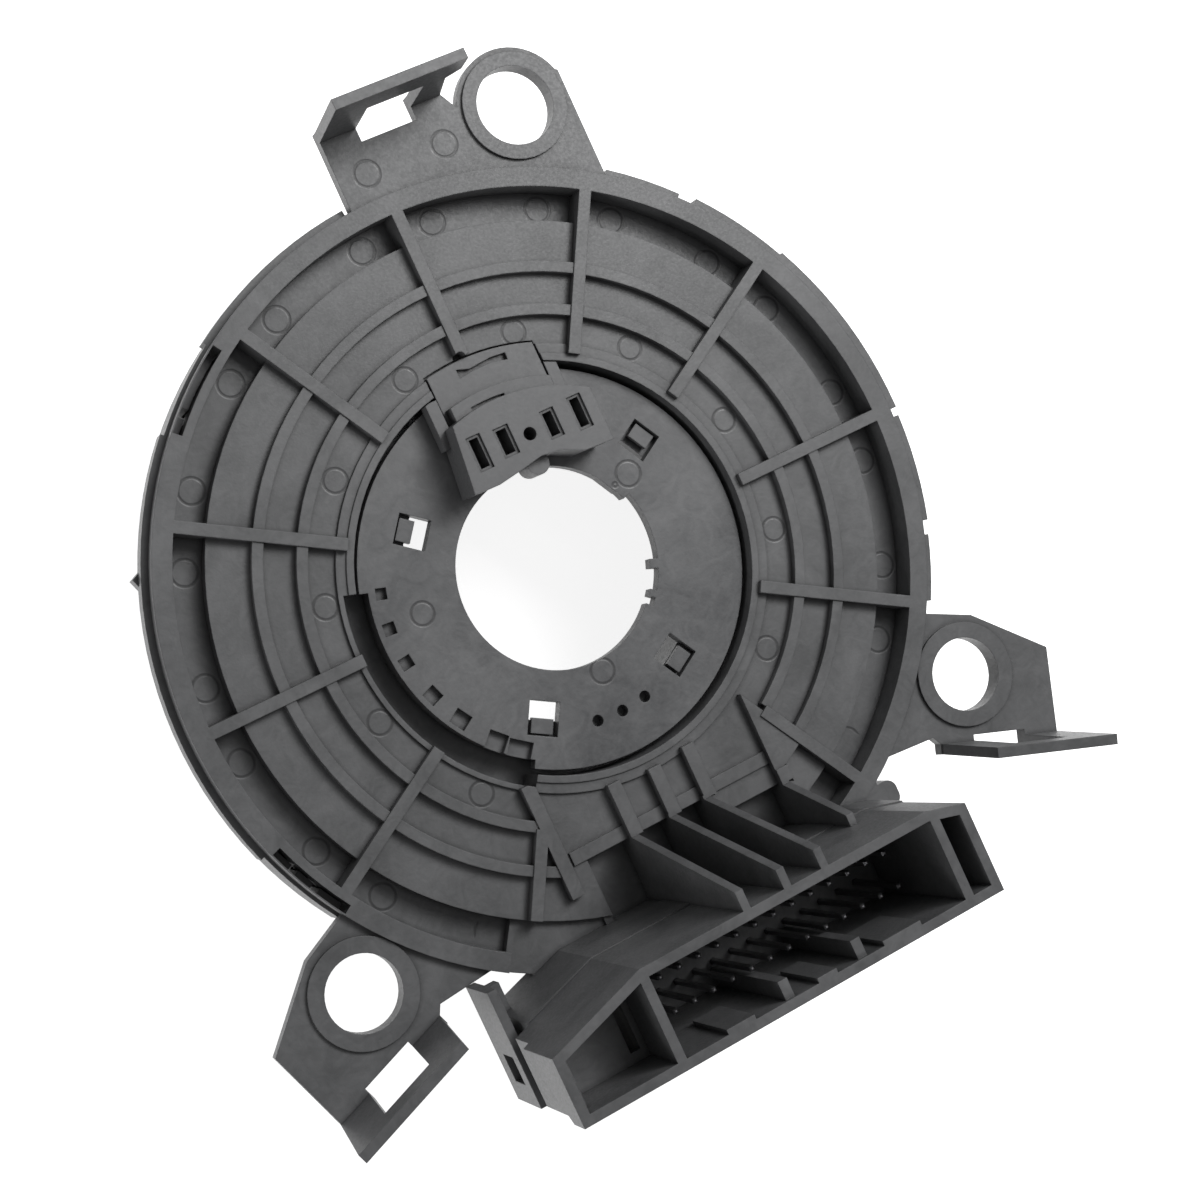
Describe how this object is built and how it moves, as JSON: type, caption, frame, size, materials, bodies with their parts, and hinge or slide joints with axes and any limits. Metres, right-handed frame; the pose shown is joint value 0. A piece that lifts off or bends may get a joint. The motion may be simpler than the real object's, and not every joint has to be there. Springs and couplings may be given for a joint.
{
  "type": "steering clock spring",
  "caption": "Round steering clock spring with a ribbed back, three lugged ears, a tall harness socket and a turning hub.",
  "frame": {"origin": "on the steering axis, in the wheel-side face of the hub collar", "axes": "+Z along the steering axis, out of the ribbed column side; -Y from the axis through the harness socket; +X completes the set"},
  "size_m": [0.1252, 0.1294, 0.064],
  "materials": {
    "black_nylon": "satin moulded black glass-filled nylon",
    "black_acetal": "satin moulded black acetal",
    "natural_plastic": "plain moulded natural nylon",
    "yellow_plastic": "plain moulded yellow plastic",
    "slip_film": "thin white low-friction film",
    "cable_film": "amber laminated film over flat copper",
    "tinned_pin": "tin-plated brass pins"
  },
  "bodies": {
    "fixed_shell": {"ribbed_cover": "black_nylon", "drum": "black_nylon", "hub_block": "black_acetal", "pin_carrier": "natural_plastic", "inner_pin_row": "tinned_pin", "outer_pin_row": "tinned_pin", "connector_lid": "black_nylon", "column_slip_sheet": "slip_film", "wheel_slip_sheet": "slip_film", "flat_cable": "cable_film", "outer_cable_end": "natural_plastic", "link_strips": "tinned_pin"},
    "turning_hub": {"rear_disc": "black_acetal", "front_rotor": "black_acetal", "inner_cable_end": "natural_plastic", "wheel_link_strips": "tinned_pin", "lead_frame": "natural_plastic", "switch_pins": "tinned_pin", "airbag_pins": "tinned_pin", "wheel_cover": "black_nylon", "left_airbag_insert": "yellow_plastic", "right_airbag_insert": "yellow_plastic", "left_shorting_clip": "tinned_pin", "right_shorting_clip": "tinned_pin"}
  },
  "joints": [
    {"name": "hub_spin", "type": "hinge", "parent": "fixed_shell", "child": "turning_hub", "pos_m": [0, 0, 0], "axis": [0, 0, 1], "range_deg": [-900, 900]}
  ]
}
